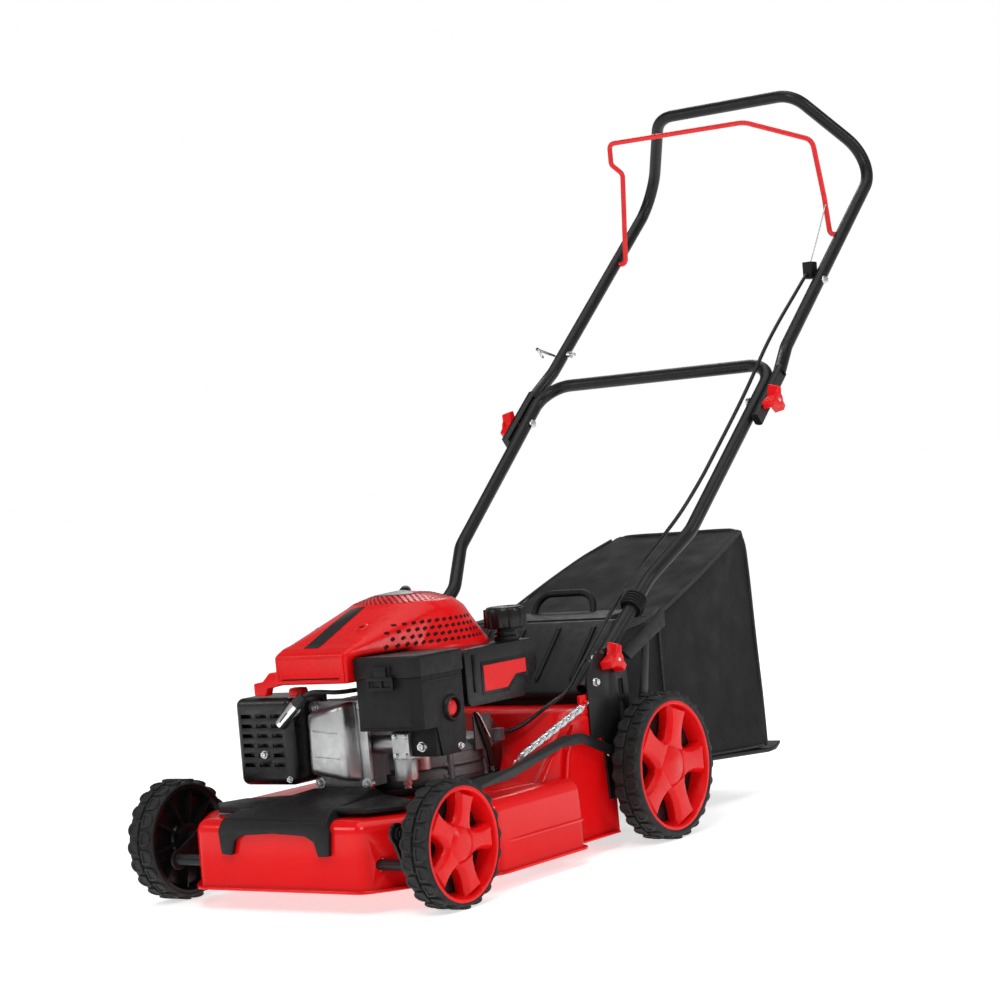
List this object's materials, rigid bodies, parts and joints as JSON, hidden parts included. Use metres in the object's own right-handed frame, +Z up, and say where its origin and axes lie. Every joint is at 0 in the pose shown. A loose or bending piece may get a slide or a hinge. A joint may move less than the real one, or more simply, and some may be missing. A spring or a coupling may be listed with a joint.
{
  "type": "push lawn mower",
  "caption": "Walk-behind petrol lawn mower with a pressed-steel deck, folding tube handle, stop bail, adjustable wheel height and rear grass bag.",
  "frame": {"origin": "centre of the mower's footprint on the ground", "axes": "+Z up, -Y towards the front wheels, +X towards the mower's left side"},
  "size_m": [0.4956, 1.3378, 1.0755],
  "materials": {
    "tyre": "matt rubber",
    "red_rim": "gloss",
    "red_deck": "gloss powder coat",
    "black_plastic": "fine grain",
    "black_steel": "satin powder coat",
    "red_steel": "gloss",
    "zinc_steel": "bright zinc",
    "blade_steel": "plain steel",
    "fabric": "woven",
    "cast_aluminium": "as cast",
    "plug_shield": "bright",
    "black_rubber": "satin",
    "red_plastic": "gloss",
    "primer_rubber": "satin"
  },
  "bodies": {
    "mower": {"deck_shell": "red_deck", "front_trim": "black_plastic", "bracket_left": "black_steel", "bracket_right": "black_steel", "height_spring": "zinc_steel", "engine_base": "black_steel", "crankcase": "cast_aluminium", "cylinder_head": "cast_aluminium", "valve_cover": "cast_aluminium", "muffler": "blade_steel", "muffler_guard": "black_steel", "spark_plug": "plug_shield", "plug_lead": "black_rubber", "engine_cover": "red_plastic", "starter_rope": "fabric", "carburettor": "cast_aluminium", "air_filter_base": "black_plastic", "fuel_tank": "black_plastic", "brake_bracket": "zinc_steel", "stop_cable_deck": "black_rubber"},
    "front_height": {"front_axle": "zinc_steel"},
    "rear_height": {"rear_axle": "zinc_steel", "height_lever": "zinc_steel", "lever_grip": "black_plastic"},
    "link": {"height_link": "zinc_steel"},
    "flap": {"rear_flap": "black_plastic"},
    "bag": {"grass_bag": "fabric", "bag_frame": "black_plastic"},
    "crank": {"crankshaft": "blade_steel", "flywheel": "cast_aluminium", "blade": "blade_steel", "blade_bolt": "zinc_steel"},
    "piston": {"piston": "cast_aluminium"},
    "starter": {"starter_grip": "black_plastic"},
    "filter_lid": {"air_filter_lid": "black_plastic"},
    "primer": {"primer_bulb": "primer_rubber"},
    "tank_cap": {"fuel_cap": "black_plastic"},
    "oil_filler": {"oil_cap": "red_plastic"},
    "brake": {"brake_lever": "black_steel"},
    "lower_bar": {"lower_handle": "black_steel", "handle_bolts": "zinc_steel", "cable_clip": "black_plastic", "stop_cable_lower": "black_rubber"},
    "upper_bar": {"upper_handle": "black_steel", "rope_guide": "zinc_steel", "cable_fitting": "black_plastic", "stop_cable_upper": "black_rubber"},
    "bail": {"bail": "red_steel"},
    "wheel_front_left": {"tyre_front_left": "tyre", "rim_front_left": "red_rim"},
    "wheel_front_right": {"tyre_front_right": "tyre", "rim_front_right": "red_rim"},
    "wheel_rear_left": {"tyre_rear_left": "tyre", "rim_rear_left": "red_rim"},
    "wheel_rear_right": {"tyre_rear_right": "tyre", "rim_rear_right": "red_rim"},
    "knob_upper_left": {"knob_upper_left": "red_plastic"},
    "knob_upper_right": {"knob_upper_right": "red_plastic"},
    "knob_lower_left": {"knob_lower_left": "red_plastic"},
    "knob_lower_right": {"knob_lower_right": "red_plastic"}
  },
  "joints": [
    {"name": "rear_height", "type": "hinge", "parent": "mower", "child": "rear_height", "pos_m": [0, -0.14398, 0.07998], "axis": [1, 0, 0], "range_deg": [-58, 0]},
    {"name": "front_height", "type": "hinge", "parent": "mower", "child": "front_height", "pos_m": [0, -0.63498, 0.05798], "axis": [1, 0, 0], "range_deg": [-58, 0]},
    {"name": "height_link", "type": "hinge", "parent": "rear_height", "child": "link", "pos_m": [0.19, -0.163, 0.12077], "axis": [1, 0, 0], "range_deg": [0, 58]},
    {"name": "lower_fold", "type": "hinge", "parent": "mower", "child": "lower_bar", "pos_m": [0, -0.2022, 0.224], "axis": [1, 0, 0], "range_deg": [0, 138]},
    {"name": "upper_fold", "type": "hinge", "parent": "lower_bar", "child": "upper_bar", "pos_m": [0, 0.2418, 0.581], "axis": [-1, 0, 0], "range_deg": [-125, 0]},
    {"name": "stop_bail", "type": "hinge", "parent": "upper_bar", "child": "bail", "pos_m": [0, 0.5438, 0.834], "axis": [-1, 0, 0], "range_deg": [0, 18], "stiffness_Nm_per_rad": 1.5, "springref_deg": -20.05},
    {"name": "brake_lever", "type": "hinge", "parent": "mower", "child": "brake", "pos_m": [0.1, -0.3542, 0.186], "axis": [1, 0, 0], "range_deg": [0, 14]},
    {"name": "rear_flap", "type": "hinge", "parent": "mower", "child": "flap", "pos_m": [0, -0.1742, 0.206], "axis": [1, 0, 0], "range_deg": [0, 55], "stiffness_Nm_per_rad": 0.4, "springref_deg": -45.84},
    {"name": "bag_lift", "type": "slide", "parent": "mower", "child": "bag", "axis": [0, 0.866, 0.5], "range_m": [0, 0.12]},
    {"name": "crank_spin", "type": "hinge", "parent": "mower", "child": "crank", "pos_m": [0, -0.3692, 0.18], "axis": [0, 0, 1], "continuous": true},
    {"name": "piston_stroke", "type": "slide", "parent": "mower", "child": "piston", "axis": [0, 1, 0], "range_m": [-0.019, 0.019]},
    {"name": "starter_pull", "type": "slide", "parent": "mower", "child": "starter", "axis": [0, 0, 1], "range_m": [0, 0.35], "stiffness_N_per_m": 12, "springref_m": -0.15, "deforming": ["starter_rope"]},
    {"name": "filter_lid", "type": "slide", "parent": "mower", "child": "filter_lid", "axis": [0, -1, 0], "range_m": [0, 0.11]},
    {"name": "primer_push", "type": "slide", "parent": "mower", "child": "primer", "axis": [-1, 0, 0], "range_m": [0, 0.0045], "stiffness_N_per_m": 600},
    {"name": "tank_cap", "type": "hinge", "parent": "mower", "child": "tank_cap", "pos_m": [0.108, -0.2922, 0.32], "axis": [0, 0, 1], "range_deg": [0, 120]},
    {"name": "oil_filler_cap", "type": "hinge", "parent": "mower", "child": "oil_filler", "pos_m": [-0.054, -0.5282, 0.256], "axis": [0, 0, 1], "range_deg": [0, 120]},
    {"name": "wheel_front_left", "type": "hinge", "parent": "front_height", "child": "wheel_front_left", "pos_m": [0.22, -0.5942, 0.077], "axis": [1, 0, 0], "continuous": true},
    {"name": "wheel_front_right", "type": "hinge", "parent": "front_height", "child": "wheel_front_right", "pos_m": [-0.22, -0.5942, 0.077], "axis": [1, 0, 0], "continuous": true},
    {"name": "wheel_rear_left", "type": "hinge", "parent": "rear_height", "child": "wheel_rear_left", "pos_m": [0.213, -0.1032, 0.099], "axis": [1, 0, 0], "continuous": true},
    {"name": "wheel_rear_right", "type": "hinge", "parent": "rear_height", "child": "wheel_rear_right", "pos_m": [-0.213, -0.1032, 0.099], "axis": [1, 0, 0], "continuous": true},
    {"name": "knob_upper_left", "type": "hinge", "parent": "lower_bar", "child": "knob_upper_left", "pos_m": [0.236, 0.2418, 0.581], "axis": [1, 0, 0], "continuous": true},
    {"name": "knob_upper_right", "type": "hinge", "parent": "lower_bar", "child": "knob_upper_right", "pos_m": [-0.236, 0.2418, 0.581], "axis": [1, 0, 0], "continuous": true},
    {"name": "knob_lower_left", "type": "hinge", "parent": "lower_bar", "child": "knob_lower_left", "pos_m": [0.19, -0.1662, 0.25], "axis": [1, 0, 0], "continuous": true},
    {"name": "knob_lower_right", "type": "hinge", "parent": "lower_bar", "child": "knob_lower_right", "pos_m": [-0.19, -0.1662, 0.25], "axis": [1, 0, 0], "continuous": true}
  ],
  "couplings": [
    {"joint": "front_height", "follows": "rear_height", "ratio": 1},
    {"joint": "height_link", "follows": "rear_height", "ratio": -1},
    {"joint": "brake_lever", "follows": "stop_bail", "ratio": 0.77778}
  ]
}
